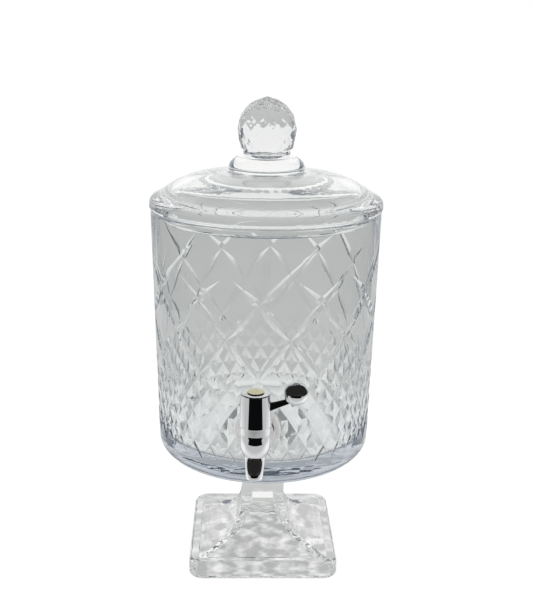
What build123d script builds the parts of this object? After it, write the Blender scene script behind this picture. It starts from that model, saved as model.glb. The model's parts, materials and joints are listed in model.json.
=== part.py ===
"""Cut-glass pedestal drink dispenser: glass jar on a square foot, domed lid
with a faceted finial, and a quarter-turn tap through the front wall.

Millimetres, +Z up, the tap points along -Y, and the origin is the centre of
the foot's underside. Each piece is one solid and one file in parts/.
"""
from build123d import *
import os
from math import atan2, cos, degrees, radians, sin, tan

os.makedirs("parts", exist_ok=True)

# ---- driving dimensions -------------------------------------------------
# jar
JAR_BOTTOM = 98.0            # underside of the jar above the table
JAR_TOP = 306.0              # top of the jar's rim
JAR_R_BOTTOM = 90.0
JAR_R_TOP = 94.0
JAR_WALL = 5.0
JAR_FLOOR = 20.0             # thick ground base
JAR_CORNER = 14.0            # outer corner under the base
JAR_INNER_CORNER = 6.0

# foot
PLATE = 126.0                # square plate, side length
FOOT_TURN = 4.2              # it is cemented on slightly out of line with the tap
PLATE_CORNER = 13.0
PLATE_T = 15.0
PLATE_BORDER = 8.5           # flat margin around the swept pyramid
NECK = 18.0                  # half width of the neck
NECK_Z = 60.0
PAD_R = 30.0
PAD_T = 4.0
BOND_T = 0.4                 # clear cement under the jar and the finial

# lid
LID_R = 95.0
LID_WIDEST = 311.0
LID_APEX = 339.5
SKIRT_R = 85.5               # drops inside the jar's mouth
SKIRT_INNER_R = 79.5
SKIRT_BOTTOM = 298.0
COLLAR_R = 30.8
COLLAR_Z = 337.6
COLLAR_NECK_R = 19.5
COLLAR_TOP = 350.0

# finial
FINIAL_R = 23.75
FINIAL_MID = 369.5
FINIAL_BASE = 350.4
FINIAL_TOP = 395.0
FINIAL_SHOULDER_R = 19.0
SOCKET_R = 12.0              # its stub sits in a blind socket in the collar
SOCKET_BOTTOM = 341.0
FACETS_AROUND = 12

# tap
TAP_Y = -118.0               # axis of the barrel and of the lever
SHANK_Z = 150.0
SHANK_R = 7.9
HOLE_R = 8.2
PAD_Y = -90.8                # flat seat outside the jar wall
INNER_PAD_Y = -84.6          # flat seat inside
BARREL_R = 11.6
BARREL_TOP = 160.0
BARREL_BOTTOM = 140.0
RING_TOP = 165.8
CAP_BOTTOM = 166.0
CAP_TOP = 191.0
CAP_R_BOTTOM = 11.9
CAP_R_TOP = 11.0
CAP_EDGE = 0.8
INSERT_R = 6.3
INSERT_PROUD = 0.8           # the insert stands above the cap
PLUG_R = 7.1
PLUG_BORE_R = 7.2
PLUG_BOTTOM = 143.0
PLUG_TOP = 158.0
O_RING_Z = (144.8, 155.8)
STEM_R = 4.5
STEM_TOP = 175.9
SCREW_R = 1.8
FLOW_R = 3.6                 # waterway through the plug
FLANGE_R = 13.6
OUTER_WASHER_R = 18.0
WASHER_Y = PAD_Y - 3.0       # outer face of the outer washer
FLANGE_Y = WASHER_Y - 2.6
SHANK_END_Y = -66.0
INNER_WASHER_Y = -81.6
NUT_FLANGE_Y = -79.6
NUT_Y = -73.0
NUT_FLATS = 22.0
LEVER_REACH = 29.3           # barrel axis to the middle of the ball
LEVER_BALL_R = 9.0
LEVER_BALL_Z = 191.3
LEVER_CLIMB = 45             # slope of the arm where the ball sits on it
LEVER_SEAT = 8.0             # ball's centre to the flat it sits on
seat_reach = LEVER_REACH - LEVER_SEAT * cos(radians(LEVER_CLIMB))
seat_z = LEVER_BALL_Z - LEVER_SEAT * sin(radians(LEVER_CLIMB))
ball_seat = Plane(
    origin=(seat_reach, TAP_Y, seat_z),
    x_dir=(0, 1, 0),
    z_dir=(cos(radians(LEVER_CLIMB)), 0, sin(radians(LEVER_CLIMB))),
)
# the arm's sections: reach, height of the middle, width, depth, slope
LEVER = [
    (7.5, 180.0, 8.0, 7.6, 12),
    (15.5, 182.9, 7.2, 6.0, 24),
    (seat_reach, seat_z, 6.0, 5.2, LEVER_CLIMB),
]
LEVER_EDGE = 0.8             # rounding along the arm


def jar_radius(z):
    """Outer radius of the tapered jar wall at height z."""
    share = (z - JAR_BOTTOM) / (JAR_TOP - JAR_BOTTOM)
    return JAR_R_BOTTOM + share * (JAR_R_TOP - JAR_R_BOTTOM)


def export(piece, name):
    """Label one finished piece and write it as its own STEP file."""
    piece.part.label = name
    export_step(piece.part, f"parts/{name}.step")


# ---- jar ----------------------------------------------------------------
# The mitre cuts are straight V grooves ground across the round wall, so each
# is deepest at its middle and runs out to a point at both ends. They follow
# the sides of a diamond lattice and meet point to point at its nodes. Above
# the top row the lattice ends in loose arms.
LATTICE_STEP = 30            # between neighbouring nodes of a row, degrees
LATTICE_ROWS = [             # height, azimuth of the first node (0 is the tap side)
    (249.0, 0),
    (221.0, 15),
    (190.0, 0),
    (157.0, 15),
]
SHORT_ARM = (12, 18.0)       # azimuth and height that an arm covers
LONG_ARM = (28.5, 45.0)
MITRE_HALF_ANGLE = 77.5      # half of the V's opening
LONG_HALF_ANGLE = 62         # the long arms are ground with a sharper wheel
MITRE_END = 0.94             # share of full depth; the tips stop short of the nodes


def v_bar(half_angle):
    """V bar along X; its edge lies on the X axis and it opens upwards."""
    height = 6.0
    reach = 40.0
    with BuildPart() as bar:
        with BuildSketch(Plane.YZ):
            half_width = height * tan(radians(half_angle))
            with BuildLine():
                Polyline((0, 0), (half_width, height), (-half_width, height), close=True)
            make_face()
        extrude(amount=reach, both=True)
    return bar.part


def mitre_place(azimuth, z, turn, rise):
    """Place of the V bar that cuts from one point of the wall to the next,
    turn degrees of azimuth further and rise higher."""
    middle = radians(azimuth + turn / 2 - 90)
    middle_z = z + rise / 2
    across = radians(turn) * jar_radius(middle_z)
    # a chord's depth under the wall's curve
    depth = MITRE_END * across**2 / (8 * jar_radius(middle_z))
    radius = jar_radius(middle_z) - depth
    wall = Plane(
        origin=(radius * cos(middle), radius * sin(middle), middle_z),
        x_dir=(-sin(middle), cos(middle), 0),
        z_dir=(cos(middle), sin(middle), 0),
    )
    return wall.location * Rotation(0, 0, degrees(atan2(rise, across)))


mitre_places = []
for (upper_z, first), (lower_z, _) in zip(LATTICE_ROWS, LATTICE_ROWS[1:]):
    for azimuth in range(first, first + 360, LATTICE_STEP):
        for side in (-1, 1):
            mitre_places.append(mitre_place(azimuth, upper_z, side * LATTICE_STEP / 2, lower_z - upper_z))

top_z, first = LATTICE_ROWS[0]
long_places = []
for azimuth in range(first, first + 360, LATTICE_STEP):
    mitre_places.append(mitre_place(azimuth, top_z, -SHORT_ARM[0], SHORT_ARM[1]))
    if azimuth % (2 * LATTICE_STEP):
        mitre_places.append(mitre_place(azimuth, top_z, *SHORT_ARM))
    else:
        long_places.append(mitre_place(azimuth, top_z, *LONG_ARM))

floor_z = JAR_BOTTOM + JAR_FLOOR
with BuildPart() as jar_hollow:
    with BuildSketch(Plane.XZ):
        with BuildLine():
            Polyline(
                (0, floor_z),
                (jar_radius(floor_z) - JAR_WALL, floor_z),
                (JAR_R_TOP - JAR_WALL, JAR_TOP),
                (0, JAR_TOP),
                close=True,
            )
        make_face()
    revolve(axis=Axis.Z)
    fillet(jar_hollow.edges().group_by(Axis.Z)[0], JAR_INNER_CORNER)
    # the wall keeps a flat seat for the inner washer
    with BuildSketch(Plane.XZ.offset(-INNER_PAD_Y)):
        with Locations((0, SHANK_Z)):
            Circle(14.5)
    extrude(amount=6, mode=Mode.SUBTRACT)

with BuildPart() as jar:
    with BuildSketch(Plane.XZ):
        with BuildLine():
            Polyline(
                (0, JAR_BOTTOM),
                (JAR_R_BOTTOM, JAR_BOTTOM),
                (JAR_R_TOP, JAR_TOP),
                (0, JAR_TOP),
                close=True,
            )
        make_face()
    revolve(axis=Axis.Z)
    fillet(jar.edges().group_by(Axis.Z)[0], JAR_CORNER)
    with Locations(*mitre_places):
        add(v_bar(MITRE_HALF_ANGLE), mode=Mode.SUBTRACT)
    with Locations(*long_places):
        add(v_bar(LONG_HALF_ANGLE), mode=Mode.SUBTRACT)
    # flat seat for the outer washer
    with BuildSketch(Plane.XZ.offset(70)):
        with Locations((0, SHANK_Z)):
            Circle(18.5)
    extrude(amount=-PAD_Y - 70)
    with BuildSketch(Plane.XZ.offset(-PAD_Y)):
        with Locations((0, SHANK_Z)):
            Circle(18.5)
    extrude(amount=4, mode=Mode.SUBTRACT)
    add(jar_hollow.part, mode=Mode.SUBTRACT)
    with BuildSketch(Plane.XZ.offset(60)):
        with Locations((0, SHANK_Z)):
            Circle(HOLE_R)
    extrude(amount=40, mode=Mode.SUBTRACT)
    fillet(jar.edges().group_by(Axis.Z)[-1], 1.8)

export(jar, "jar")


# ---- foot ---------------------------------------------------------------
# The outline seen from the side, pulled through along Y; two of them at right
# angles leave the four-sided pyramid with its swept faces and crisp ridges.
pyramid_half = PLATE / 2 - PLATE_BORDER
head_z = JAR_BOTTOM - BOND_T - PAD_T
with BuildPart() as foot_side:
    with BuildSketch(Plane.XZ):
        with BuildLine():
            Polyline((0, 0), (PLATE / 2, 0), (PLATE / 2, PLATE_T), (pyramid_half, PLATE_T))
            Spline(
                (pyramid_half, PLATE_T),
                (NECK + 8.0, PLATE_T + 12.5),
                (NECK, NECK_Z),
                tangents=((-1, 0.28), (0, 1)),
            )
            Spline((NECK, NECK_Z), (PAD_R - 4, head_z), tangents=((0, 1), (0.75, 0.66)))
            Polyline((PAD_R - 4, head_z), (0, head_z), (0, 0))
        make_face()
    extrude(amount=PLATE / 2, both=True)
    mirror(about=Plane.YZ)

hollow_half = 54.0           # inner edge of the ring that the foot stands on
hollow_step = 9.0
hollow_top = 49.0
with BuildPart() as foot_hollow_side:
    with BuildSketch(Plane.XZ):
        with BuildLine():
            Polyline((0, 0), (hollow_half + 2, 0), (hollow_half, hollow_step), (hollow_half - 6, hollow_step))
            Spline(
                (hollow_half - 6, hollow_step),
                (20.0, 22.0),
                (9.0, hollow_top),
                tangents=((-1, 0.25), (-0.1, 1)),
            )
            Polyline((9.0, hollow_top), (0, hollow_top), (0, 0))
        make_face()
    extrude(amount=hollow_half + 2, both=True)
    mirror(about=Plane.YZ)

with BuildPart() as foot_hollow:
    add(foot_hollow_side.part)
    add(foot_hollow_side.part, rotation=(0, 0, 90), mode=Mode.INTERSECT)

with BuildPart() as foot:
    add(foot_side.part, rotation=(0, 0, FOOT_TURN))
    add(foot_side.part, rotation=(0, 0, FOOT_TURN + 90), mode=Mode.INTERSECT)
    with BuildSketch():
        RectangleRounded(PLATE, PLATE, PLATE_CORNER, rotation=FOOT_TURN)
    extrude(amount=JAR_BOTTOM, mode=Mode.INTERSECT)
    rim = foot.faces().filter_by_position(Axis.Z, PLATE_T - 0.1, PLATE_T + 0.1).sort_by(Axis.Z)[-1]
    fillet(rim.outer_wire().edges(), 5.0)
    with BuildSketch(Plane.XY.offset(head_z)):
        Circle(PAD_R)
    extrude(amount=PAD_T)
    add(foot_hollow.part, rotation=(0, 0, FOOT_TURN), mode=Mode.SUBTRACT)
    fillet(foot.faces().sort_by(Axis.Z)[0].outer_wire().edges(), 1.2)

export(foot, "foot")

with BuildPart() as foot_bond:
    with BuildSketch(Plane.XY.offset(JAR_BOTTOM - BOND_T)):
        Circle(PAD_R - 1)
    extrude(amount=BOND_T)

export(foot_bond, "foot_bond")


# ---- lid ----------------------------------------------------------------
with BuildPart() as lid:
    with BuildSketch(Plane.XZ):
        with BuildLine():
            # outside: dome, shoulder, rim
            Spline(
                (COLLAR_R - 4, LID_APEX - 2.6),
                (55, 334.0),
                (80, 324.2),
                (89.5, 318.1),
                (LID_R, LID_WIDEST),
                tangents=((1, -0.14), (0, -1)),
            )
            Spline(
                (LID_R, LID_WIDEST),
                (JAR_R_TOP - 1.5, JAR_TOP),
                tangents=((0, -1), (-1, -0.1)),
            )
            Polyline(
                (JAR_R_TOP - 1.5, JAR_TOP),
                (SKIRT_R, JAR_TOP),
                (SKIRT_R - 0.5, SKIRT_BOTTOM + 1.5),
                (SKIRT_R - 2, SKIRT_BOTTOM),
                (SKIRT_INNER_R + 1.5, SKIRT_BOTTOM),
                (SKIRT_INNER_R, SKIRT_BOTTOM + 1.5),
                (SKIRT_INNER_R, 308.0),
            )
            # inside: the dome again, a wall's thickness down
            Spline(
                (SKIRT_INNER_R, 308.0),
                (71, 321.5),
                (45, 330.6),
                (0, LID_APEX - 5),
                tangents=((0, 1), (-1, 0)),
            )
            Line((0, LID_APEX - 5), (0, LID_APEX))
            Line((0, LID_APEX), (COLLAR_R - 4, LID_APEX - 2.6))
        make_face()
        # collar: a bold round ring under the finial's seat
        with BuildLine():
            Line((0, 335.0), (COLLAR_R - 4.5, 335.0))
            Spline(
                (COLLAR_R - 4.5, 335.0),
                (COLLAR_R, COLLAR_Z),
                (COLLAR_R - 2.4, COLLAR_Z + 7.0),
                (COLLAR_R - 6.6, COLLAR_Z + 10.3),
                (COLLAR_NECK_R, COLLAR_TOP),
                tangents=((1, 0), (-1, 0.35)),
            )
            Polyline((COLLAR_NECK_R, COLLAR_TOP), (0, COLLAR_TOP), (0, 335.0))
        make_face()
    revolve(axis=Axis.Z)
    with Locations((0, 0, COLLAR_TOP)):
        Hole(SOCKET_R, COLLAR_TOP - SOCKET_BOTTOM)

export(lid, "lid")


# ---- finial -------------------------------------------------------------
# A ball cut with staggered rows of diamond facets. Each facet is flat because
# the middle of its widest corners lies on the line from its lower to its
# upper corner; that rule places one ring of corners after another.
half_step = 180 / FACETS_AROUND


def next_ring(before, here):
    """Ring of facet corners on the ball that follows two rings (r, z)."""
    middle_r = here[0] * cos(radians(half_step))
    run = middle_r - before[0]
    rise = here[1] - before[1]
    # the second point where this line meets the ball's circle
    length_sq = run * run + rise * rise
    share = -2 * (before[0] * run + before[1] * rise) / length_sq
    return before[0] + share * run, before[1] + share * rise


def ring_points(radius, z, turn):
    """Corners of one ring, turned by half a facet where turn is 1."""
    angles = [radians((2 * i + turn) * half_step) for i in range(FACETS_AROUND)]
    return [Vector(radius * cos(a), radius * sin(a), z) for a in angles]


first = (FINIAL_R, 0.0)
second = (FINIAL_R * cos(radians(half_step)), FINIAL_R * sin(radians(half_step)))
upper = [first, second]
while len(upper) < 8:
    upper.append(next_ring(upper[-2], upper[-1]))
lower = [first, (second[0], -second[1])]
while len(lower) < 3:
    lower.append(next_ring(lower[-2], lower[-1]))
rings = [(r, z, i % 2) for i, (r, z) in enumerate(upper)]
rings = [(r, z, i % 2) for i, (r, z) in reversed(list(enumerate(lower)))][:-1] + rings
tall_above = 1.03            # the ball is drawn out, more so under its middle
tall_below = 1.33
levels = [FINIAL_MID + z * (tall_above if z > 0 else tall_below) for _, z, _ in rings]
corners = [ring_points(r, level, turn) for (r, _, turn), level in zip(rings, levels)]

facets = []
for low, mid, high, turn in zip(corners, corners[1:], corners[2:], [r[2] for r in rings[1:]]):
    for i in range(FACETS_AROUND):
        shared = i - 1 + turn
        facets.append([low[shared], mid[i], high[shared], mid[i - 1]])
for i in range(FACETS_AROUND):
    # triangles that square off the first and the last ring
    facets.append([corners[0][i - 1], corners[0][i], corners[1][i - 1 + rings[0][2]]])
    facets.append([corners[-1][i], corners[-1][i - 1], corners[-2][i - 1 + rings[-1][2]]])
    # and a low star on top
    facets.append([corners[-1][i - 1], corners[-1][i], Vector(0, 0, FINIAL_TOP)])
facets.append(list(reversed(corners[0])))
facet_faces = [Face(Wire.make_polygon(points)) for points in facets]

with BuildPart() as finial:
    add(Solid(Shell(facet_faces)))
    with BuildSketch(Plane.XY.offset(FINIAL_BASE)):
        Circle(FINIAL_SHOULDER_R)
    extrude(amount=levels[0] - FINIAL_BASE + 0.5)
    with BuildSketch(Plane.XY.offset(SOCKET_BOTTOM + BOND_T)):
        Circle(SOCKET_R - 0.15)
    extrude(amount=levels[0] - SOCKET_BOTTOM)

export(finial, "finial")

with BuildPart() as finial_bond:
    with BuildSketch(Plane.XY.offset(COLLAR_TOP)):
        Circle(FINIAL_SHOULDER_R)
        Circle(SOCKET_R, mode=Mode.SUBTRACT)
    extrude(amount=FINIAL_BASE - COLLAR_TOP)

export(finial_bond, "finial_bond")


# ---- tap ----------------------------------------------------------------
tap_axis = Axis((0, TAP_Y, 0), (0, 0, 1))
tap_side = Plane(origin=(0, TAP_Y, 0), x_dir=(1, 0, 0), z_dir=(0, -1, 0))


def across(y):
    """Plane facing the jar's wall, at depth y, for sketches around the shank."""
    return Plane(origin=(0, y, SHANK_Z), x_dir=(1, 0, 0), z_dir=(0, -1, 0))


# The spout's stations: distance in front of the barrel's axis, height, radius
# and tilt of the section's normal from straight down.
SPOUT = [
    (0.5, 144.5, 8.8, 6),
    (2.2, 138.5, 7.6, 18),
    (5.9, 131.3, 6.8, 8),
    (7.2, 125.8, 6.1, 6),
]
SPOUT_WALL = 2.0
SPOUT_BORE_R = 4.3


def spout_plane(forward, z, tilt):
    """Plane across the spout, its normal along the flow."""
    return Plane(
        origin=(0, TAP_Y - forward, z),
        x_dir=(1, 0, 0),
        z_dir=(0, -sin(radians(tilt)), -cos(radians(tilt))),
    )


with BuildPart() as spout_waterway:
    for forward, z, radius, tilt in SPOUT[1:]:
        with BuildSketch(spout_plane(forward, z, tilt)):
            Circle(min(radius - SPOUT_WALL, SPOUT_BORE_R))
    loft()
    # up into the plug's bore
    with BuildSketch(spout_plane(*SPOUT[1][:2], SPOUT[1][3])):
        Circle(SPOUT_BORE_R)
    extrude(amount=-7)
    with BuildSketch(spout_plane(*SPOUT[-1][:2], SPOUT[-1][3])):
        Circle(SPOUT[-1][2] - SPOUT_WALL)
    extrude(amount=1)

with BuildPart() as tap_body:
    # pear-shaped barrel that narrows down to the spout
    with BuildSketch(tap_side):
        with BuildLine():
            Line((0, BARREL_BOTTOM), (7.8, BARREL_BOTTOM))
            Spline(
                (7.8, BARREL_BOTTOM),
                (BARREL_R - 1.2, BARREL_BOTTOM + 6.0),
                (BARREL_R - 0.2, BARREL_BOTTOM + 12.0),
                (BARREL_R - 0.8, BARREL_TOP),
                tangents=((0.4, 1), (-0.12, 1)),
            )
            Polyline((BARREL_R - 0.8, BARREL_TOP), (0, BARREL_TOP), (0, BARREL_BOTTOM))
        make_face()
    revolve(axis=tap_axis)
    # spout
    for forward, z, radius, tilt in SPOUT:
        with BuildSketch(spout_plane(forward, z, tilt)):
            Circle(radius)
    loft()
    # shoulder, flange and shank that pass back through the wall
    with BuildSketch(across(FLANGE_Y)):
        Circle(9.4)
    extrude(amount=FLANGE_Y - TAP_Y)
    with BuildSketch(across(WASHER_Y)):
        Circle(FLANGE_R)
    extrude(amount=WASHER_Y - FLANGE_Y)
    with BuildSketch(across(SHANK_END_Y)):
        Circle(SHANK_R)
    extrude(amount=SHANK_END_Y - WASHER_Y)
    fillet(tap_body.edges().filter_by(GeomType.CIRCLE).filter_by_position(Axis.Y, FLANGE_Y - 0.1, FLANGE_Y + 0.1).sort_by(SortBy.RADIUS)[-1], 0.9)
    # waterway in, and the bore for the plug
    with BuildSketch(across(SHANK_END_Y)):
        Circle(FLOW_R + 0.4)
    extrude(amount=SHANK_END_Y - TAP_Y, mode=Mode.SUBTRACT)
    add(spout_waterway.part, mode=Mode.SUBTRACT)
    with Locations((0, TAP_Y, BARREL_TOP)):
        Hole(PLUG_BORE_R, BARREL_TOP - PLUG_BOTTOM + 0.2)

export(tap_body, "tap_body")

with BuildPart() as swivel_ring:
    # screwed into the barrel's mouth; it keeps the plug down
    with BuildSketch(Plane.XY.offset(BARREL_TOP)):
        with Locations((0, TAP_Y)):
            Circle(BARREL_R)
    extrude(amount=RING_TOP - BARREL_TOP)
    chamfer(swivel_ring.edges().group_by(Axis.Z)[-1], 0.4)
    with BuildSketch(Plane.XY.offset(PLUG_TOP + 0.1)):
        with Locations((0, TAP_Y)):
            Circle(PLUG_BORE_R - 0.02)
    extrude(amount=BARREL_TOP - PLUG_TOP - 0.1)
    with Locations((0, TAP_Y, RING_TOP)):
        Hole(STEM_R + 0.4, 20)

export(swivel_ring, "swivel_ring")

with BuildPart() as outer_washer:
    with BuildSketch(across(PAD_Y)):
        Circle(OUTER_WASHER_R)
        Circle(SHANK_R + 0.05, mode=Mode.SUBTRACT)
    extrude(amount=PAD_Y - WASHER_Y)
    chamfer(outer_washer.faces().sort_by(Axis.Y)[0].outer_wire().edges(), 1.0)

export(outer_washer, "outer_washer")

with BuildPart() as inner_washer:
    with BuildSketch(across(INNER_WASHER_Y)):
        Circle(13.5)
        Circle(SHANK_R + 0.05, mode=Mode.SUBTRACT)
    extrude(amount=INNER_WASHER_Y - INNER_PAD_Y)
    chamfer(inner_washer.faces().sort_by(Axis.Y)[-1].outer_wire().edges(), 0.7)

export(inner_washer, "inner_washer")

with BuildPart() as lock_nut:
    with BuildSketch(across(NUT_Y)):
        RegularPolygon(NUT_FLATS / 2, 6, major_radius=False)
    extrude(amount=NUT_Y - NUT_FLANGE_Y)
    with BuildSketch(across(NUT_FLANGE_Y)):
        Circle(13.2)
    extrude(amount=NUT_FLANGE_Y - INNER_WASHER_Y)
    with BuildSketch(across(NUT_Y)):
        Circle(SHANK_R + 0.05)
    extrude(amount=20, mode=Mode.SUBTRACT)

export(lock_nut, "lock_nut")

with BuildPart() as valve_plug:
    with BuildSketch(tap_side):
        with BuildLine():
            Polyline(
                (0, PLUG_BOTTOM),
                (PLUG_R, PLUG_BOTTOM),
                (PLUG_R, PLUG_TOP),
                (STEM_R, PLUG_TOP),
                (STEM_R, STEM_TOP),
                (0, STEM_TOP),
                close=True,
            )
        make_face()
        for z in O_RING_Z:
            with Locations((PLUG_R, z)):
                Rectangle(3.6, 1.9, mode=Mode.SUBTRACT)
    revolve(axis=tap_axis)
    # the drink comes in from the side once the port faces the shank, and
    # runs out underneath
    with BuildSketch(Plane.YZ.offset(-10)):
        with Locations((TAP_Y, SHANK_Z)):
            Circle(FLOW_R)
    extrude(amount=10, mode=Mode.SUBTRACT)
    with BuildSketch(Plane.XY.offset(PLUG_BOTTOM)):
        with Locations((0, TAP_Y)):
            Circle(FLOW_R)
    extrude(amount=SHANK_Z - PLUG_BOTTOM + 1.0, mode=Mode.SUBTRACT)
    with Locations((0, TAP_Y, STEM_TOP)):
        Hole(SCREW_R, 8)

export(valve_plug, "valve_plug")

for name, z in zip(("plug_o_ring_lower", "plug_o_ring_upper"), O_RING_Z):
    with BuildPart() as o_ring:
        # eight-sided section: the rubber is squeezed into its groove
        with BuildSketch(tap_side):
            with Locations((PLUG_R - 0.86, z)):
                RegularPolygon(0.84, 8)
        revolve(axis=tap_axis)
    export(o_ring, name)

with BuildPart() as tap_handle:
    with BuildSketch(tap_side):
        with BuildLine():
            Polyline(
                (0, CAP_BOTTOM),
                (CAP_R_BOTTOM, CAP_BOTTOM),
                (CAP_R_TOP, CAP_TOP),
                (0, CAP_TOP),
                close=True,
            )
        make_face()
    revolve(axis=tap_axis)
    fillet(tap_handle.edges().group_by(Axis.Z)[-1], CAP_EDGE)
    # flat lever arm, rising to the ball
    for reach, z, width, depth, climb in LEVER:
        arm_plane = Plane(
            origin=(reach, TAP_Y, z),
            x_dir=(0, 1, 0),
            z_dir=(cos(radians(climb)), 0, sin(radians(climb))),
        )
        with BuildSketch(arm_plane):
            RectangleRounded(width, depth, LEVER_EDGE)
    loft()
    with BuildSketch(ball_seat):
        Circle(2.0)
    extrude(amount=6)
    # seats for the insert, the screw and the stem
    with Locations((0, TAP_Y, CAP_TOP)):
        Hole(INSERT_R + 0.1, 1.0)
        Hole(4.3, 7.0)
        Hole(SCREW_R + 0.05, 20)
    with BuildSketch(Plane.XY.offset(CAP_BOTTOM)):
        with Locations((0, TAP_Y)):
            Circle(STEM_R + 0.03)
    extrude(amount=STEM_TOP - CAP_BOTTOM + 0.1, mode=Mode.SUBTRACT)

export(tap_handle, "tap_handle")

with BuildPart() as lever_ball:
    with Locations((LEVER_REACH, TAP_Y, LEVER_BALL_Z)):
        Sphere(LEVER_BALL_R)
    split(bisect_by=ball_seat, keep=Keep.TOP)
    with BuildSketch(ball_seat):
        Circle(2.05)
    extrude(amount=6.5, mode=Mode.SUBTRACT)

export(lever_ball, "lever_ball")

with BuildPart() as cap_insert:
    with BuildSketch(Plane.XY.offset(CAP_TOP - 1.0)):
        with Locations((0, TAP_Y)):
            Circle(INSERT_R)
    extrude(amount=1.0 + INSERT_PROUD)
    chamfer(cap_insert.edges().group_by(Axis.Z)[-1], 0.2)

export(cap_insert, "cap_insert")

with BuildPart() as handle_screw:
    with BuildSketch(Plane.XY.offset(CAP_TOP - 7.0)):
        with Locations((0, TAP_Y)):
            Circle(4.1)
    extrude(amount=2.6)
    with Locations((0, TAP_Y, CAP_TOP - 4.4)):
        with BuildSketch():
            RegularPolygon(1.6, 6)
    extrude(amount=-1.4, mode=Mode.SUBTRACT)
    with BuildSketch(Plane.XY.offset(STEM_TOP - 7.5)):
        with Locations((0, TAP_Y)):
            Circle(SCREW_R - 0.03)
    extrude(amount=CAP_TOP - 7.0 - STEM_TOP + 7.5)

export(handle_screw, "handle_screw")
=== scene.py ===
"""Looks of the cut-glass drink dispenser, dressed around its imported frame."""
import json
import math

import bmesh
import bpy
from mathutils import Matrix, Vector
from mathutils.geometry import delaunay_2d_cdt


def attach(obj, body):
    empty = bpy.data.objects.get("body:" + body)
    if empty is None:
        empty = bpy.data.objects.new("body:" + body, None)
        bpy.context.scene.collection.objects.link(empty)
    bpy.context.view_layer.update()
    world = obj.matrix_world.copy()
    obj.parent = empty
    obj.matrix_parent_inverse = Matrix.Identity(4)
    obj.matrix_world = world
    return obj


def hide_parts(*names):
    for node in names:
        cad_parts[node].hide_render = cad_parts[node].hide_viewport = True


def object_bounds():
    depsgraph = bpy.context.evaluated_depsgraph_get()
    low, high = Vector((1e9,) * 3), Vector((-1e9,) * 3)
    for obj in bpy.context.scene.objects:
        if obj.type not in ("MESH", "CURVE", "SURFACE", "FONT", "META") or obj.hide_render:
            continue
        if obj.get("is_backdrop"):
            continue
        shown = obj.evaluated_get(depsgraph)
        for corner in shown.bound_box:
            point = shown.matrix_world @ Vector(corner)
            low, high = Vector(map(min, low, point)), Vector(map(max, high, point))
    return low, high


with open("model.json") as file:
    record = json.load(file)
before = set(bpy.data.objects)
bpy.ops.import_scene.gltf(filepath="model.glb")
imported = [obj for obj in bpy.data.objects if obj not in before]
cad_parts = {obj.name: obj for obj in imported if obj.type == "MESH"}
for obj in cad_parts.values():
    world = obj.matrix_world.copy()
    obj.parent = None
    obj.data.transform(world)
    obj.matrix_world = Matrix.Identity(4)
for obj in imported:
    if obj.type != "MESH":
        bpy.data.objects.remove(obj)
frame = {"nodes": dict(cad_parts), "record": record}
cad_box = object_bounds()
nodes = frame["nodes"]
MM = 0.001


# ---- camera --------------------------------------------------------------
PHOTO_WIDTH = 533
FOCAL_PX = 892.4             # focal length in pixels of the photograph
AXIS_PX = 264.85             # column where the optical axis crosses the picture
CAMERA_BACK = 723.5 * MM
CAMERA_HEIGHT = 433.1 * MM
CAMERA_TURN = math.radians(2.8)
CAMERA_PITCH = math.radians(-16.31)
CAMERA_ROLL = math.radians(0.76)
SENSOR_WIDTH = 36            # millimetres, Blender's own width


def make_camera():
    """Camera at the photograph's place, fitted from the rims and the foot."""
    data = bpy.data.cameras.new("camera")
    data.sensor_fit = "HORIZONTAL"
    data.sensor_width = SENSOR_WIDTH
    data.lens = FOCAL_PX * SENSOR_WIDTH / PHOTO_WIDTH
    data.shift_x = (PHOTO_WIDTH / 2 - AXIS_PX) / PHOTO_WIDTH
    camera = bpy.data.objects.new("camera", data)
    turn = Matrix.Rotation(CAMERA_TURN, 4, "Z")
    place = Matrix.Translation((0, -CAMERA_BACK, CAMERA_HEIGHT))
    tilt = Matrix.Rotation(math.pi / 2 + CAMERA_PITCH, 4, "X")
    roll = Matrix.Rotation(CAMERA_ROLL, 4, "Z")
    camera.matrix_world = turn @ place @ tilt @ roll
    bpy.context.scene.collection.objects.link(camera)
    bpy.context.scene.camera = camera


# ---- helpers -------------------------------------------------------------
DRIFT = (0.3, 0.7)           # values of a noise between which a tint changes
EDGE_BLUR = 0.02


def new_material(name):
    """Empty node material and its output node."""
    material = bpy.data.materials.new(name)
    material.use_nodes = True
    tree = material.node_tree
    tree.nodes.clear()
    return material, tree, tree.nodes.new("ShaderNodeOutputMaterial")


def link(tree, source, target):
    """Joins an output socket to an input."""
    tree.links.new(source, target)


def coordinates(tree, kind="Object"):
    """The object's own coordinates in metres, or another kind of them."""
    return tree.nodes.new("ShaderNodeTexCoord").outputs[kind]


def axes(tree, vector):
    """X, Y and Z of a vector."""
    node = tree.nodes.new("ShaderNodeSeparateXYZ")
    link(tree, vector, node.inputs[0])
    return node.outputs


def noise(tree, grain, detail=2.0):
    """Noise value over the object's own coordinates."""
    node = tree.nodes.new("ShaderNodeTexNoise")
    node.inputs["Scale"].default_value = grain
    node.inputs["Detail"].default_value = detail
    link(tree, coordinates(tree), node.inputs["Vector"])
    return node.outputs["Fac"]


def tint(tree, grain, dark, pale):
    """Colour that drifts between two with a noise of that grain."""
    node = tree.nodes.new("ShaderNodeValToRGB")
    first, last = node.color_ramp.elements
    first.position, last.position = DRIFT
    first.color, last.color = (*dark, 1), (*pale, 1)
    link(tree, noise(tree, grain), node.inputs["Fac"])
    return node.outputs["Color"]


def span(tree, value, low, high):
    """Maps a 0-1 value to low-high."""
    node = tree.nodes.new("ShaderNodeMapRange")
    node.inputs["To Min"].default_value = low
    node.inputs["To Max"].default_value = high
    link(tree, value, node.inputs["Value"])
    return node.outputs["Result"]


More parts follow.
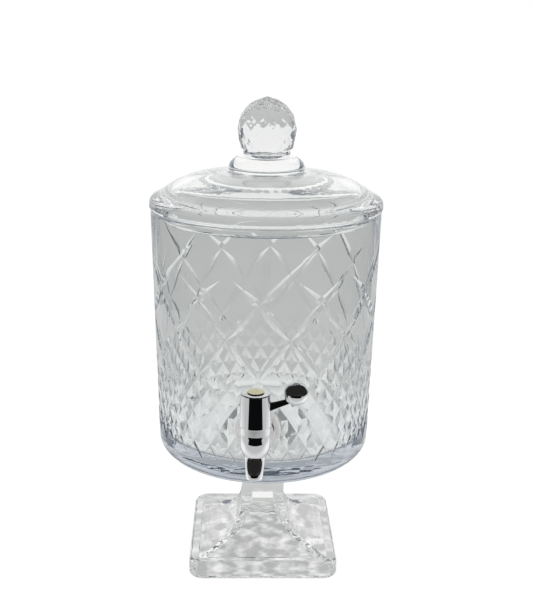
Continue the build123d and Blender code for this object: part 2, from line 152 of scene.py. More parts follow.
def bump(tree, height, distance, strength=None, normal=None):
    """Surface normal from a height; strength and normal are sockets."""
    node = tree.nodes.new("ShaderNodeBump")
    node.inputs["Distance"].default_value = distance
    link(tree, height, node.inputs["Height"])
    for name, source in (("Strength", strength), ("Normal", normal)):
        if source is not None:
            link(tree, source, node.inputs[name])
    return node.outputs["Normal"]


def maths(tree, operation, first, second=0.0):
    """One Math node; its inputs are sockets or plain numbers."""
    node = tree.nodes.new("ShaderNodeMath")
    node.operation = operation
    for socket, value in zip(node.inputs, (first, second)):
        if isinstance(value, (int, float)):
            socket.default_value = value
        else:
            link(tree, value, socket)
    return node.outputs[0]


def step_up(tree, value, edge, blur=EDGE_BLUR):
    """0 under the edge, 1 over it, with a soft change."""
    node = tree.nodes.new("ShaderNodeMapRange")
    node.inputs["From Min"].default_value = edge - blur
    node.inputs["From Max"].default_value = edge + blur
    link(tree, value, node.inputs["Value"])
    return node.outputs["Result"]


def choose(tree, share, first, second):
    """Shader that goes from first to second with the share."""
    mix = tree.nodes.new("ShaderNodeMixShader")
    link(tree, share, mix.inputs["Fac"])
    link(tree, first, mix.inputs[1])
    link(tree, second, mix.inputs[2])
    return mix.outputs["Shader"]


def light(tree, color, strength, kind="ShaderNodeEmission"):
    """Shader that gives light of one colour."""
    node = tree.nodes.new(kind)
    node.inputs["Color"].default_value = (*color, 1)
    node.inputs["Strength"].default_value = strength
    return node.outputs[0]


def diffuse(tree, level):
    """Matt grey shader."""
    node = tree.nodes.new("ShaderNodeBsdfDiffuse")
    node.inputs["Color"].default_value = (level, level, level, 1)
    return node.outputs[0]


def into_scene(name, mesh):
    """Object made of a bmesh, which is freed."""
    data = bpy.data.meshes.new(name)
    mesh.to_mesh(data)
    mesh.free()
    thing = bpy.data.objects.new(name, data)
    bpy.context.scene.collection.objects.link(thing)
    return thing


# ---- materials -----------------------------------------------------------
GLASS_IOR = 1.49
GLASS_TINT_GRAIN = 18
GLASS_WAVE = 0.04 * MM       # height and grain of the surface's waves
GLASS_GRAIN = 45
WAVE_DETAIL = 1.0
GLASS_DEPTH = 3.0            # absorption per metre of the jar's glass
GLASS_DEPTH_COLOR = (0.0, 0.13, 0.32, 1)
CUT_ROUGHNESS = 0.22         # of the jar's cuts, softened by the fire polish
CUT_DEPTH = (0.05 * MM, 0.5 * MM)    # over which a cut grows that rough
BASE_WAVE = 0.7 * MM         # waves of the jar's base, under the cut wall
BASE_GRAIN = 65
BASE_BLUR = 0.5 * MM

METAL_GRAIN = 60
METAL_WORN = 0.96            # share of its colour that a dull place keeps
METAL_GLOSS_FINER = 3        # than the grain of its colour
METAL_WAVE_FINER = 4

MOULD_IOR = 1.41
MOULD_SHADE = 0.9            # share of its colour in the dark of the mottle
MOULD_GRAIN = 150
MOULD_GLOSS_GRAIN = 400
MOULD_GLOSS_DRIFT = 0.06
MOULD_SKIN = 0.03 * MM
MOULD_SKIN_GRAIN = 1500


def cut_share(tree):
    """1 in the cuts of the jar's outer wall, 0 on the plain wall."""
    x, y, z = axes(tree, coordinates(tree))
    square = maths(tree, "ADD", maths(tree, "MULTIPLY", x, x), maths(tree, "MULTIPLY", y, y))
    radius = maths(tree, "SQRT", square)
    taper = (JAR_R_TOP - JAR_R_BOTTOM) / (JAR_TOP - JAR_BOTTOM)
    radius_at_zero = (JAR_R_BOTTOM - taper * JAR_BOTTOM) * MM
    plain = maths(tree, "ADD", maths(tree, "MULTIPLY", z, taper), radius_at_zero)
    depth = maths(tree, "SUBTRACT", plain, radius)
    shallow, deep = CUT_DEPTH
    in_cut = step_up(tree, depth, (shallow + deep) / 2, (deep - shallow) / 2)
    on_outside = maths(tree, "LESS_THAN", depth, JAR_WALL / 2 * MM)
    return maths(tree, "MULTIPLY", in_cut, on_outside)


def wavy_base(tree, normal):
    """Broader waves below the jar's cut wall."""
    height = axes(tree, coordinates(tree))["Z"]
    share = maths(tree, "SUBTRACT", 1.0, step_up(tree, height, WALL_LOW * MM, BASE_BLUR))
    return bump(tree, noise(tree, BASE_GRAIN, WAVE_DETAIL), BASE_WAVE, share, normal)


def glass(name, dark, pale, wave=GLASS_WAVE, grain=GLASS_GRAIN, jar=False):
    """Clear pressed glass: a faint tint that drifts a little and a surface
    that is slightly wavy, as fire-polished glass is. The jar's has soft cuts,
    a wavier base and a blue-grey depth as well."""
    material, tree, out = new_material(name)
    shader = tree.nodes.new("ShaderNodeBsdfPrincipled")
    shader.inputs["Transmission Weight"].default_value = 1.0
    shader.inputs["IOR"].default_value = GLASS_IOR
    shader.inputs["Roughness"].default_value = 0.0
    link(tree, tint(tree, GLASS_TINT_GRAIN, dark, pale), shader.inputs["Base Color"])
    normal = bump(tree, noise(tree, grain, WAVE_DETAIL), wave)
    if jar:
        rough = maths(tree, "MULTIPLY", cut_share(tree), CUT_ROUGHNESS)
        link(tree, rough, shader.inputs["Roughness"])
        normal = wavy_base(tree, normal)
        depth = tree.nodes.new("ShaderNodeVolumeAbsorption")
        depth.inputs["Color"].default_value = GLASS_DEPTH_COLOR
        depth.inputs["Density"].default_value = GLASS_DEPTH
        link(tree, depth.outputs["Volume"], out.inputs["Volume"])
    link(tree, normal, shader.inputs["Normal"])
    link(tree, shader.outputs["BSDF"], out.inputs["Surface"])
    return material


def metal(name, color, low, high, wave=0.0, grain=METAL_GRAIN):
    """Bright metal; its roughness drifts between low and high."""
    material, tree, out = new_material(name)
    shader = tree.nodes.new("ShaderNodeBsdfPrincipled")
    shader.inputs["Metallic"].default_value = 1.0
    worn = [c * METAL_WORN for c in color]
    gloss = span(tree, noise(tree, grain * METAL_GLOSS_FINER), low, high)
    link(tree, tint(tree, grain, worn, color), shader.inputs["Base Color"])
    link(tree, gloss, shader.inputs["Roughness"])
    if wave:
        waves = bump(tree, noise(tree, grain * METAL_WAVE_FINER), wave)
        link(tree, waves, shader.inputs["Normal"])
    link(tree, shader.outputs["BSDF"], out.inputs["Surface"])
    return material


def moulded(name, color, roughness, translucent=0.0):
    """Moulded rubber or plastic with a fine skin and a slight mottle."""
    material, tree, out = new_material(name)
    shader = tree.nodes.new("ShaderNodeBsdfPrincipled")
    shade = [c * MOULD_SHADE for c in color]
    gloss = span(tree, noise(tree, MOULD_GLOSS_GRAIN),
                 roughness - MOULD_GLOSS_DRIFT, roughness + MOULD_GLOSS_DRIFT)
    link(tree, tint(tree, MOULD_GRAIN, shade, color), shader.inputs["Base Color"])
    link(tree, gloss, shader.inputs["Roughness"])
    shader.inputs["Transmission Weight"].default_value = translucent
    shader.inputs["IOR"].default_value = MOULD_IOR
    link(tree, bump(tree, noise(tree, MOULD_SKIN_GRAIN), MOULD_SKIN), shader.inputs["Normal"])
    link(tree, shader.outputs["BSDF"], out.inputs["Surface"])
    return material


def make_materials():
    """Materials by name: that of the CAD slot, or of one piece's own glass."""
    return {
        "clear_glass": glass("clear_glass", (0.975, 0.98, 0.97), (0.985, 0.99, 0.98)),
        "jar_glass": glass("jar_glass", (0.905, 0.915, 0.905), (0.935, 0.94, 0.93), jar=True),
        "foot_glass": glass("foot_glass", (0.93, 0.935, 0.93), (0.96, 0.965, 0.955),
                            wave=0.5 * MM, grain=80),
        "finial_glass": glass("finial_glass", (0.88, 0.885, 0.88), (0.93, 0.935, 0.925),
                              wave=0.8 * MM, grain=160),
        "clear_cement": moulded("clear_cement", (0.97, 0.97, 0.96), 0.3, translucent=0.15),
        "chrome": metal("chrome", (0.88, 0.88, 0.89), 0.015, 0.045),
        "chrome_satin": metal("chrome_satin", (0.86, 0.86, 0.86), 0.12, 0.2),
        "silicone": moulded("silicone", (0.96, 0.96, 0.93), 0.3, translucent=0.3),
        "nut_plastic": moulded("nut_plastic", (0.96, 0.96, 0.96), 0.3, translucent=0.3),
        "gold_insert": metal("gold_insert", (0.80, 0.76, 0.50), 0.12, 0.3,
                             wave=0.2 * MM, grain=250),
        "steel": metal("steel", (0.6, 0.6, 0.61), 0.25, 0.4),
        "plug_plastic": moulded("plug_plastic", (0.88, 0.88, 0.86), 0.45),
        "black_rubber": moulded("black_rubber", (0.03, 0.03, 0.03), 0.6),
    }


OWN_GLASS = {"foot": "foot_glass", "finial": "finial_glass"}


def dress(materials):
    """Give every CAD node the material of its slot, or its own glass."""
    for part in frame["record"]["subparts"]:
        name = OWN_GLASS.get(part["node"], part["material_slot"])
        mesh = nodes[part["node"]].data
        mesh.materials.clear()
        mesh.materials.append(materials[name])


# ---- jar -----------------------------------------------------------------
# The jar replaces its CAD node: the same glass and the same mitre cuts, with
# the band of small pyramids round its lower wall as well. The cut wall is laid
# flat, triangulated along the edges of its cuts and wrapped round again. In
# this section lengths are in millimetres and turns in degrees, and the seats
# keep 0.05 mm clear of the pieces beside them, so that no two faces coincide.
JAR_BOTTOM = 98.0
JAR_TOP = 305.95
JAR_R_BOTTOM = 90.0
JAR_R_TOP = 94.0
JAR_WALL = 5.0
JAR_FLOOR = 20.0
JAR_CORNER = 14.0
JAR_INNER_CORNER = 6.0
JAR_RIM = 1.8
HOLE_Z = 150.0
HOLE_R = 8.2
SEAT_R = 18.5                # flat seats of the washers, outside and inside
SEAT_Y = -90.75
SEAT_CLEARED = 4.0           # how far in front of a seat the wall is cut away
INNER_SEAT_R = 14.5
INNER_SEAT_Y = -84.65
INNER_SEAT_CLEARED = 6.0
BOSS_FROM_Y = -86.5          # inside the wall, where the outer seat's boss starts
HOLE_SPAN = (-70.0, -100.0)  # from inside the jar to outside it
TOOL_SEGMENTS = 72
BASE_Z = 98.05               # underside of the base, over the cement

FLAT_R = 92.0                # the wall is laid flat at this radius
SECTOR = 60.0                # after which the cuts repeat
MARGIN = 8.0                 # of the neighbours, laid out with a sector
GRID_TURN = 2.5              # spacing of the plain wall's points
GRID_RISE = 8.0
WALL_LOW = 110.0             # bottom and top of the wall that is laid flat
WALL_HIGH = JAR_TOP - JAR_RIM
FLAT_MERGE = 1e-3            # closer points are joined, on the flat wall
SECTOR_MERGE = 0.01          # and where two sectors meet

# turned surfaces
DISC_SHARES = (0.66, 0.33)   # rings across the base and the floor
INSIDE_SHARES = (0.75, 0.5, 0.25)    # rings down the inside
CORNER_STEPS = 16
INNER_CORNER_STEPS = 8
RIM_STEPS = 5
RING_NEAR = 0.5              # height within which a ring is told from others

# lattice of the cuts: a node of row r has an azimuth of NODE_TURN times a
# whole number that is odd or even as r is
NODE_TURN = 15.0
NODE_REACH = 4               # nodes laid out to each side of the tap
ROW_Z = {-1 / 3: 111.0, 0: 118.0, 1: 157.0, 2: 190.0, 3: 221.0, 4: 249.0}
ROW_SLACK = 1e-6             # for rounding
TOP_ROW = 4
MITRE_WIDTH = 3.6            # half width of a mitre cut at its widest
MITRE_SLOPE = math.tan(math.radians(18.5))
SHORT_ARM = (12.0, 18.0)     # turn and rise from a top node
LONG_ARM = (28.5, 45.0)
ARM_WIDEST = 0.16            # share of an arm's way at which it is widest
MITRE_STEPS = 10             # straight pieces along a cut
FINE = 3                     # small pyramids along a lattice edge
FINE_ROWS = 5
FINE_DEPTH = 1.1             # of the grooves between them
FINE_FLAT = 0.34             # share of a pyramid that its flat top takes
CUTS_WITHIN = 2.5            # depth within which all cuts lie
CREASE = math.radians(7)     # a sharper edge on the cut wall is left crisp
TURNED_CREASE = math.radians(30)


def jar_radius(z):
    """Radius of the plain outer wall."""
    share = (z - JAR_BOTTOM) / (JAR_TOP - JAR_BOTTOM)
    return JAR_R_BOTTOM + share * (JAR_R_TOP - JAR_R_BOTTOM)


def row_height(row):
    """Height of a lattice row; between two known rows it runs straight."""
    known = sorted(ROW_Z)
    below = max([r for r in known[:-1] if r <= row + ROW_SLACK], default=known[0])
    above = known[known.index(below) + 1]
    share = (row - below) / (above - below)
    return ROW_Z[below] + share * (ROW_Z[above] - ROW_Z[below])


def laid(turn, z):
    """Place on the flat wall."""
    return Vector((math.radians(turn) * FLAT_R, z))


def lattice(p, q):
    """Flat place of a lattice point; p and q are whole at a node."""
    return laid((p + q) * NODE_TURN, row_height(p - q))


def lens(t):
    """Outline of a cut between two nodes, as a share of its half width."""
    return 4 * t * (1 - t)


def spike(t):
    """Outline of an arm that runs out into the plain wall."""
    return t / ARM_WIDEST if t < ARM_WIDEST else (1 - t) / (1 - ARM_WIDEST)


class Mitre:
    """V cut with a straight middle line and sides of one slope."""

    def __init__(self, start, end, outline):
        self.start, self.end, self.outline = start, end, outline
        self.way = end - start
        self.side = Vector((-self.way.y, self.way.x)).normalized()

    def half_width(self, t):
        """Half of the cut's width at a share t of its way."""
        return MITRE_WIDTH * self.outline(t)

    def depth(self, place):
        """How deep the cut is at a place on the flat wall."""
        t = (place - self.start).dot(self.way) / self.way.length_squared
        if not 0 < t < 1:
            return 0.0
        off = abs((place - self.start).dot(self.side))
        return max(0.0, self.half_width(t) - off) * MITRE_SLOPE

    def lines(self):
        """Middle line and the two outlines."""
        shares = sorted({i / MITRE_STEPS for i in range(MITRE_STEPS + 1)} | {ARM_WIDEST})
        for sign in (-1, 0, 1):
            yield [self.start + self.way * t + self.side * (sign * self.half_width(t))
                   for t in shares]


def mitre_cuts():
    """Cuts of one sector, the tap in its middle, and of its margins."""
    cuts = []
    for row in range(1, TOP_ROW):
        for k in range(-NODE_REACH, NODE_REACH + 1):
            if (k + row) % 2 == 0:
                low = laid(k * NODE_TURN, ROW_Z[row])
                for sign in (-1, 1):
                    high = laid((k + sign) * NODE_TURN, ROW_Z[row + 1])
                    cuts.append(Mitre(low, high, lens))
    for k in range(-NODE_REACH, NODE_REACH + 1, 2):
        at, z = k * NODE_TURN, ROW_Z[TOP_ROW]
        right_arm = LONG_ARM if at % SECTOR == 0 else SHORT_ARM
        for sign, (turn, rise) in ((-1, SHORT_ARM), (1, right_arm)):
            cuts.append(Mitre(laid(at, z), laid(at + sign * turn, z + rise), spike))
    return cuts


def pyramid_cells():
    """Lower lattice corner of each small pyramid, in steps of 1 / FINE."""
    furthest = SECTOR / 2 + MARGIN
    reach = int(furthest / NODE_TURN * FINE) + 2
    for i in range(-reach, reach + FINE_ROWS + 1):
        for j in range(-reach, reach + 1):
            row, turn = i - j, (i + j + 1) / FINE * NODE_TURN
            if 1 <= row <= FINE_ROWS and abs(turn) < furthest:
                yield i, j


def pyramid_lines(i, j):
    """Foot, flat top and the four edges between them of a small pyramid."""
    corners = ((i, j), (i + 1, j), (i + 1, j + 1), (i, j + 1))
    foot = [lattice(p / FINE, q / FINE) for p, q in corners]
    middle = sum(foot, Vector((0, 0))) / 4
    top = [middle + (corner - middle) * FINE_FLAT for corner in foot]
    yield foot + foot[:1]
    yield top + top[:1]
    for pair in zip(foot, top):
        yield list(pair)


def pyramid_depth(place):
    """Depth of the wall beside a small pyramid's flat top."""
    turn = math.degrees(place.x / FLAT_R) / NODE_TURN
    known = sorted(ROW_Z)
    row = next((low + (place.y - ROW_Z[low]) / (ROW_Z[high] - ROW_Z[low]) * (high - low)
                for low, high in zip(known, known[1:]) if place.y < ROW_Z[high]), TOP_ROW)
    p, q = (turn + row) / 2 * FINE, (turn - row) / 2 * FINE
    i, j = math.floor(p), math.floor(q)
    if not 1 <= i - j <= FINE_ROWS:
        return 0.0
    off = 2 * max(abs(p - i - 0.5), abs(q - j - 0.5))
    return FINE_DEPTH * max(0.0, (off - FINE_FLAT) / (1 - FINE_FLAT))


def sector_mesh():
    """Flat places and triangles of one sector."""
    points, edges = [], []

    def add(line):
        first = len(points)
        points.extend(line)
        edges.extend((first + n, first + n + 1) for n in range(len(line) - 1))

    cuts = mitre_cuts()
    for cut in cuts:
        for line in cut.lines():
            add(line)
    for cell in pyramid_cells():
        for line in pyramid_lines(*cell):
            add(line)
    half = SECTOR / 2
    columns = int(SECTOR / GRID_TURN)
    levels = int((WALL_HIGH - WALL_LOW) / GRID_RISE)
    turns = [-half + SECTOR * n / columns for n in range(columns + 1)]
    heights = [WALL_LOW + (WALL_HIGH - WALL_LOW) * n / levels for n in range(levels + 1)]
    for z in (WALL_LOW, WALL_HIGH):
        add([laid(turn, z) for turn in turns])
    for turn in (-half, half):
        add([laid(turn, z) for z in heights])
    for n, turn in enumerate(turns[1:-1]):
        for z in heights[1:-1]:
            place = laid(turn, z + (n % 2) * GRID_RISE / 2 - GRID_RISE / 4)
            if pyramid_depth(place) == 0 and all(cut.depth(place) == 0 for cut in cuts):
                points.append(place)
    places, _, faces, _, _, _ = delaunay_2d_cdt(points, edges, [], 0, FLAT_MERGE)
    limit = laid(half, 0).x
    inside = []
    for face in faces:
        middle = sum((places[n] for n in face), Vector((0, 0))) / len(face)
        if abs(middle.x) < limit and WALL_LOW < middle.y < WALL_HIGH:
            inside.append(face)
    depths = [max([pyramid_depth(place)] + [cut.depth(place) for cut in cuts])
              for place in places]
    return places, depths, inside


def wall_point(turn, z, depth):
    """Point of the outer wall; turn 0 is the tap side."""
    radius = jar_radius(z) - depth
    angle = math.radians(turn - 90)
    return Vector((radius * math.cos(angle), radius * math.sin(angle), z)) * MM


def arc(centre_r, centre_z, radius, start, stop, steps):
    """Points of an arc in the jar's section."""
    angles = [math.radians(start + (stop - start) * i / steps) for i in range(steps + 1)]
    return [(centre_r + radius * math.cos(a), centre_z + radius * math.sin(a)) for a in angles]


def build_wall():
    """Cut wall all round, as an open bmesh."""
    mesh = bmesh.new()
    places, depths, faces = sector_mesh()
    used = sorted({n for face in faces for n in face})
    for sector in range(int(360 / SECTOR)):
        verts = {}
        for n in used:
            turn = math.degrees(places[n].x / FLAT_R) + sector * SECTOR
            verts[n] = mesh.verts.new(wall_point(turn, places[n].y, depths[n]))
        for face in faces:
            mesh.faces.new([verts[n] for n in face])
    bmesh.ops.remove_doubles(mesh, verts=mesh.verts, dist=SECTOR_MERGE * MM)
    return mesh


def build_jar():
    """Cut wall, closed by turned rings for the base, the rim and the inside."""
    mesh = build_wall()
    rims = [v for v in mesh.verts if any(len(e.link_faces) == 1 for e in v.link_edges)]

    def ring_at(z):
        ring = [v for v in rims if abs(v.co.z - z * MM) < RING_NEAR * MM]
        return sorted(ring, key=lambda v: math.atan2(v.co.y, v.co.x))

    floor_z = JAR_BOTTOM + JAR_FLOOR
    inner_r = jar_radius(floor_z) - JAR_WALL
    corner_z = JAR_BOTTOM + JAR_CORNER
    corner_r = jar_radius(corner_z) - JAR_CORNER

    # below the cuts: round the corner and in under the base
    below = arc(corner_r, corner_z, JAR_CORNER, 0, -90, CORNER_STEPS)
    below = [(radius, z) for radius, z in below if z < WALL_LOW - RING_NEAR]
    below += [(corner_r * share, BASE_Z) for share in DISC_SHARES]
    add_rings(mesh, ring_at(WALL_LOW), below, up=False, cap=BASE_Z)

    # above them: over the rim, down the inside and across the floor
    rim_r = jar_radius(WALL_HIGH) - JAR_RIM
    inner_rim = JAR_R_TOP - JAR_WALL
    above = arc(rim_r, WALL_HIGH, JAR_RIM, 0, 90, RIM_STEPS)[1:]
    above += arc(inner_rim + JAR_RIM, WALL_HIGH, JAR_RIM, 90, 180, RIM_STEPS)
    above += [(inner_r + (inner_rim - inner_r) * share, floor_z + (JAR_TOP - floor_z) * share)
              for share in INSIDE_SHARES]
    above += arc(inner_r - JAR_INNER_CORNER, floor_z + JAR_INNER_CORNER,
                 JAR_INNER_CORNER, 0, -90, INNER_CORNER_STEPS)
    above += [(inner_r * share, floor_z) for share in DISC_SHARES]
    add_rings(mesh, ring_at(WALL_HIGH), above, up=True, cap=floor_z)

    bmesh.ops.recalc_face_normals(mesh, faces=mesh.faces)
    return into_scene("jar_cut_glass", mesh)


def add_rings(mesh, start, section, up, cap):
    """Carry on from a ring of vertices along a turned section and close it."""
    before = start
    around = len(start)
    angles = [math.atan2(v.co.y, v.co.x) for v in start]
    for radius, z in section:
        ring = [mesh.verts.new(Vector((radius * math.cos(a), radius * math.sin(a), z)) * MM)
                for a in angles]
        for i in range(around):
            face = (before[i], before[(i + 1) % around], ring[(i + 1) % around], ring[i])
            mesh.faces.new(face if up else tuple(reversed(face)))
        before = ring
    middle = mesh.verts.new(Vector((0, 0, cap)) * MM)
    for i in range(around):
        face = (before[i], before[(i + 1) % around], middle)
        mesh.faces.new(face if up else tuple(reversed(face)))


def tool_cylinder(radius, y_from, y_to):
    """Cylinder along Y at the tap hole, for cutting or joining."""
    mesh = bmesh.new()
    middle = Vector((0, (y_from + y_to) / 2, HOLE_Z)) * MM
    place = Matrix.Translation(middle) @ Matrix.Rotation(math.pi / 2, 4, "X")
    bmesh.ops.create_cone(
        mesh, cap_ends=True, segments=TOOL_SEGMENTS, radius1=radius * MM, radius2=radius * MM,
        depth=abs(y_to - y_from) * MM, matrix=place)
    return into_scene("tool", mesh)


def cut_tap_seat(jar):
    """Boss, flat seats and hole where the tap goes through the wall."""
    steps = [
        ("UNION", tool_cylinder(SEAT_R, BOSS_FROM_Y, SEAT_Y)),
        ("DIFFERENCE", tool_cylinder(SEAT_R, SEAT_Y, SEAT_Y - SEAT_CLEARED)),
        ("DIFFERENCE", tool_cylinder(INNER_SEAT_R, INNER_SEAT_Y,
                                     INNER_SEAT_Y + INNER_SEAT_CLEARED)),
        ("DIFFERENCE", tool_cylinder(HOLE_R, *HOLE_SPAN)),
    ]
    for operation, tool in steps:
        modifier = jar.modifiers.new("tool", "BOOLEAN")
        modifier.operation = operation
        modifier.solver = "EXACT"
        modifier.object = tool
    graph = bpy.context.evaluated_depsgraph_get()
    cut = bpy.data.meshes.new_from_object(jar.evaluated_get(graph))
    jar.modifiers.clear()
    old = jar.data
    jar.data = cut
    bpy.data.meshes.remove(old)
    for _, tool in steps:
        bpy.data.objects.remove(tool)
    jar.data.name = "jar_cut_glass"


def sharpen(jar):
    """Crisp edges on the cut wall, smooth ones on the turned surfaces."""
    def on_wall(vert):
        inside_cuts = (jar_radius(vert.co.z / MM) - CUTS_WITHIN) * MM
        return WALL_LOW * MM <= vert.co.z and vert.co.xy.length > inside_cuts

    jar.data.shade_smooth()
    mesh = bmesh.new()
    mesh.from_mesh(jar.data)
    for edge in mesh.edges:
        crease = CREASE if all(on_wall(vert) for vert in edge.verts) else TURNED_CREASE
        edge.smooth = edge.calc_face_angle(0) < crease
    mesh.to_mesh(jar.data)
    mesh.free()


def make_jar(materials):
    """The jar's own look in place of its CAD node."""
    jar = build_jar()
    cut_tap_seat(jar)
    sharpen(jar)
    jar.data.materials.clear()
    jar.data.materials.append(materials["jar_glass"])
    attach(jar, "vessel")
    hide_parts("jar")


# ---- cement films --------------------------------------------------------
FILM_GAP = 0.05 * MM
FILM_MERGE = 0.001 * MM


def make_film(name, body, materials):
    """A cement film again, a hair smaller all round, so that none of its
    faces coincides with the glass beside it."""
    source = nodes[name]
    mesh = bmesh.new()
    mesh.from_mesh(source.data)
    bmesh.ops.remove_doubles(mesh, verts=mesh.verts, dist=FILM_MERGE)
    mesh.normal_update()
    inward = {v: -v.normal * v.calc_shell_factor() * FILM_GAP for v in mesh.verts}
    for vert, way in inward.items():
        vert.co += way
    film = into_scene(name + "_film", mesh)
    film.matrix_world = source.matrix_world
    film.data.materials.append(materials["clear_cement"])
    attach(film, body)
    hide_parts(name)


# ---- studio --------------------------------------------------------------
# What mirror and glass rays see: a white sweep behind and under the object,
# and a dim room in front of it and overhead.
WHITE = (1, 1, 1)
ROOM_HALF_WIDTH = math.radians(134)   # the dim room, to each side of the camera
SWEEP_TOP = math.radians(48)          # height of the white sweep behind
SWEEP_TOP_BLUR = 0.06
HORIZON = math.radians(-3)
ROOM_MIRRORED = 0.02
ROOM_MIRRORED_COLOR = (1, 0.97, 0.95)
ROOM_THROUGH_GLASS = (0.13, 0.155, 0.20)
PLAIN_LIGHT = 0.75                    # what lights matt surfaces
PLAIN_LIGHT_COLOR = (0.97, 0.98, 1)
TOWARDS_CAMERA = (math.sin(CAMERA_TURN), -math.cos(CAMERA_TURN), 0)


def by_ray(tree, lit, seen, reflected):
    """lit for the light itself, also where it reaches a surface through
    glass, seen for the camera, reflected for mirror and glass rays."""
    path = tree.nodes.new("ShaderNodeLightPath")
    either = maths(tree, "MAXIMUM", path.outputs["Is Glossy Ray"],
                   path.outputs["Is Transmission Ray"])
    direct = maths(tree, "LESS_THAN", path.outputs["Diffuse Depth"], 0.5)
    mirrored = maths(tree, "MULTIPLY", either, direct)
    unseen = choose(tree, mirrored, lit, reflected)
    return choose(tree, path.outputs["Is Camera Ray"], unseen, seen)


def dim_share(tree):
    """1 where the dim room is, 0 on the sweep."""
    way = coordinates(tree, "Generated")
    height = axes(tree, way)["Z"]
    towards = tree.nodes.new("ShaderNodeVectorMath")
    towards.operation = "DOT_PRODUCT"
    towards.inputs[1].default_value = TOWARDS_CAMERA
    link(tree, way, towards.inputs[0])
    # in front where towards > level * cos(half width)
    square = maths(tree, "MULTIPLY", height, height)
    level = maths(tree, "SQRT", maths(tree, "SUBTRACT", 1.0, square))
    edge = maths(tree, "MULTIPLY", level, math.cos(ROOM_HALF_WIDTH))
    in_front = step_up(tree, maths(tree, "SUBTRACT", towards.outputs["Value"], edge), 0.0)
    overhead = step_up(tree, height, math.sin(SWEEP_TOP), SWEEP_TOP_BLUR)
    above_horizon = step_up(tree, height, math.sin(HORIZON))
    return maths(tree, "MULTIPLY", maths(tree, "MAXIMUM", in_front, overhead), above_horizon)


def make_world():
    """The room all round, told apart by the kind of ray that meets it."""
    world = bpy.data.worlds.new("studio")
    world.use_nodes = True
    tree = world.node_tree
    tree.nodes.clear()
    out = tree.nodes.new("ShaderNodeOutputWorld")
    background = "ShaderNodeBackground"
    white = light(tree, WHITE, 1.0, background)
    mirrored = light(tree, ROOM_MIRRORED_COLOR, ROOM_MIRRORED, background)
    through_glass = light(tree, ROOM_THROUGH_GLASS, 1.0, background)
    lit = light(tree, PLAIN_LIGHT_COLOR, PLAIN_LIGHT, background)
    path = tree.nodes.new("ShaderNodeLightPath")
    room = choose(tree, path.outputs["Is Transmission Ray"], mirrored, through_glass)
    reflected = choose(tree, dim_share(tree), white, room)
    link(tree, by_ray(tree, lit, white, reflected), out.inputs["Surface"])
    bpy.context.scene.world = world


FLOOR_SIZE = 12
FLOOR_DROP = 0.3 * MM        # keeps it clear of the foot's underside
FLOOR_WHITE = 0.86           # what it gives of itself, and its matt share
FLOOR_MATT = 0.22
FLOOR_PLAIN = 0.85           # as other surfaces are lit by it
FLOOR_REACH = 3.0            # metres from the object that the bands below cover
# painted rings of light and shade on the floor, shade nearest the object: how bright mirror
# and glass rays see the floor, by share of that reach
PAINTED_FLOOR_BANDS = (
    (0.035, 0.60), (0.068, 1.0), (0.10, 1.0), (0.18, 0.635), (0.58, 0.575), (0.72, 1.0))
FLOOR_BANDS_RED = 0.99
FLOOR_FRONT_SHADE = 0.58           # painted shade: how bright they see the floor in front of the object, from so many metres
FLOOR_FRONT_SHADE_COLOR = (0.98, 0.99, 1)
FRONT_FROM = 0.18
FRONT_BLUR = 0.08
# painted caustic: patches of painted light and shade for the light that the foot gathers on
# the floor under it, as seen through the foot
CAUSTIC_REACH = 0.085
CAUSTIC_REACH_BLUR = 0.02
CAUSTIC_GRAIN = 70
CAUSTIC_DETAIL = 3.0
CAUSTIC_EDGE = 0.56
CAUSTIC_BLUR = 0.14
# painted shade between the caustic's patches of light
CAUSTIC_SHADE = 0.5
CAUSTIC_SHADE_COLOR = (0.99, 1, 1)


def painted_floor_bands(tree, away):
    """Painted rings of light and shade round the object."""
    bands = tree.nodes.new("ShaderNodeValToRGB")
    bands.color_ramp.interpolation = "EASE"
    elements = bands.color_ramp.elements
    while len(elements) < len(PAINTED_FLOOR_BANDS):
        elements.new(0.5)    # moved to its place below
    for element, (position, level) in zip(elements, PAINTED_FLOOR_BANDS):
        element.position = position
        element.color = (level * FLOOR_BANDS_RED, level, level, 1)
    link(tree, maths(tree, "DIVIDE", away, FLOOR_REACH), bands.inputs["Fac"])
    around = tree.nodes.new("ShaderNodeEmission")
    link(tree, bands.outputs["Color"], around.inputs["Color"])
    return around.outputs[0]


def floor_reflected(tree):
    """The floor as mirror and glass rays see it: painted rings of light and shade, painted
    shade in front and a painted caustic under the foot.
    """
    place = coordinates(tree)
    length = tree.nodes.new("ShaderNodeVectorMath")
    length.operation = "LENGTH"
    link(tree, place, length.inputs[0])
    away = length.outputs["Value"]
    forward = maths(tree, "MULTIPLY", axes(tree, place)["Y"], -1.0)
    in_front = step_up(tree, forward, FRONT_FROM, FRONT_BLUR)
    # painted shade on the floor in front of the object
    front = light(tree, FLOOR_FRONT_SHADE_COLOR, FLOOR_FRONT_SHADE)
    plain = choose(tree, in_front, painted_floor_bands(tree, away), front)
    # painted caustic under the foot: patches of painted light and shade
    pattern = step_up(tree, noise(tree, CAUSTIC_GRAIN, CAUSTIC_DETAIL),
                      CAUSTIC_EDGE, CAUSTIC_BLUR)
    dark = light(tree, CAUSTIC_SHADE_COLOR, CAUSTIC_SHADE)
    caustic = choose(tree, pattern, dark, light(tree, WHITE, 1.0))
    outside = step_up(tree, away, CAUSTIC_REACH, CAUSTIC_REACH_BLUR)
    return choose(tree, outside, caustic, plain)


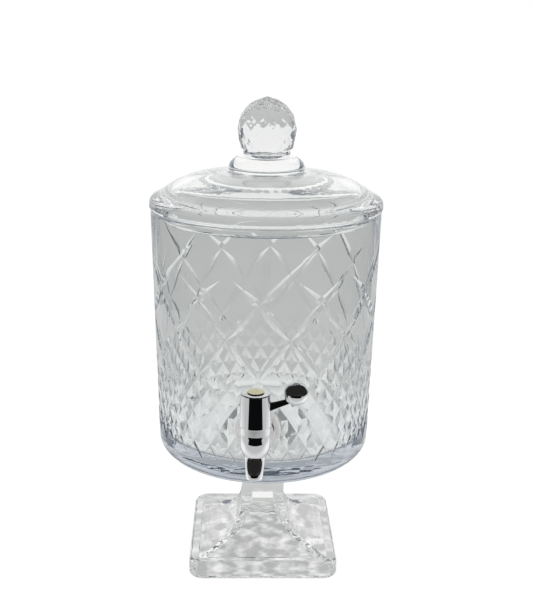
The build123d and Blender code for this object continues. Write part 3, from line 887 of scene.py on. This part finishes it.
def make_floor():
    """White sweep: mostly its own white, and a little diffuse for the shadow."""
    material, tree, out = new_material("floor_white")
    both = tree.nodes.new("ShaderNodeAddShader")
    link(tree, light(tree, WHITE, FLOOR_WHITE), both.inputs[0])
    link(tree, diffuse(tree, FLOOR_MATT), both.inputs[1])
    surface = by_ray(tree, diffuse(tree, FLOOR_PLAIN), both.outputs[0], floor_reflected(tree))
    link(tree, surface, out.inputs["Surface"])
    bpy.ops.mesh.primitive_plane_add(size=FLOOR_SIZE, location=(0, 0, -FLOOR_DROP))
    floor = bpy.context.object
    floor.name = "floor"
    floor.data.materials.append(material)
    floor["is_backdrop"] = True


# painted shade in front of the white table, as chrome mirrors it: distance from the jar's axis
# at which the shade starts, up to so many degrees on each side of the camera
TABLE_EDGES = ((0.50, 42), (0.80, 134))
DARK_REACH = 5.5
# faint glow of the sheet of painted shade, and its colour
DARK_LIGHT = 0.004
DARK_COLOR = (0.9, 1, 0.9)
DARK_HEIGHT = 1 * MM
DARK_STEP = 2                # degrees


def make_table_edge():
    """Sheet of painted shade for the ground beyond the table, seen only by mirror rays."""
    material, tree, out = new_material("table_edge_painted_shade")
    link(tree, light(tree, DARK_COLOR, DARK_LIGHT), out.inputs["Surface"])
    mesh = bmesh.new()
    reach = DARK_REACH
    for start, half in reversed(TABLE_EDGES):
        pairs = []
        for i in range(-half, half + 1, DARK_STEP):
            angle = math.radians(i - 90) + CAMERA_TURN
            places = [(r * math.cos(angle), r * math.sin(angle), DARK_HEIGHT)
                      for r in (start, reach)]
            pairs.append([mesh.verts.new(place) for place in places])
        for (a, b), (c, d) in zip(pairs, pairs[1:]):
            mesh.faces.new((a, b, d, c))
        reach = start
    card = into_scene("table_edge_painted_shade", mesh)
    card.data.materials.append(material)
    card.visible_camera = False
    card.visible_diffuse = False
    card.visible_transmission = False
    card.visible_shadow = False
    card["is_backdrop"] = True


# degrees round from the camera, height, distance, side and watts
LAMPS = {
    "soft_left": (-62, 1.1, 1.5, 0.7, 9),
    "soft_right": (58, 1.2, 1.5, 0.7, 7),
}
LAMP_AIM = Vector((0, 0, 0.2))


def make_lamp(name, turn, height, distance, size, power):
    """Square soft box that looks at the middle of the jar."""
    data = bpy.data.lights.new(name, "AREA")
    data.shape = "SQUARE"
    data.size = size
    data.energy = power
    lamp = bpy.data.objects.new(name, data)
    angle = math.radians(turn - 90) + CAMERA_TURN
    lamp.location = (distance * math.cos(angle), distance * math.sin(angle), height)
    lamp.rotation_mode = "QUATERNION"
    lamp.rotation_quaternion = (LAMP_AIM - lamp.location).to_track_quat("-Z", "Y")
    lamp.visible_glossy = False
    lamp.visible_transmission = False
    bpy.context.scene.collection.objects.link(lamp)


def make_studio():
    """Room, floor, painted shade beyond the table and two soft lamps."""
    make_world()
    make_floor()
    make_table_edge()
    for name, lamp in LAMPS.items():
        make_lamp(name, *lamp)


# ---- put together --------------------------------------------------------
BOUNCES = 40                 # a ray crosses many glass surfaces

bpy.context.scene.view_settings.view_transform = "Standard"
bpy.context.scene.cycles.max_bounces = BOUNCES
bpy.context.scene.cycles.transmission_bounces = BOUNCES
bpy.context.scene.cycles.glossy_bounces = BOUNCES
make_camera()
make_studio()
materials = make_materials()
dress(materials)
make_jar(materials)
make_film("foot_bond", "vessel", materials)
make_film("finial_bond", "lid", materials)

boxes = {"cad": cad_box, "scene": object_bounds()}
{name: [list(corner) for corner in box] for name, box in boxes.items()}
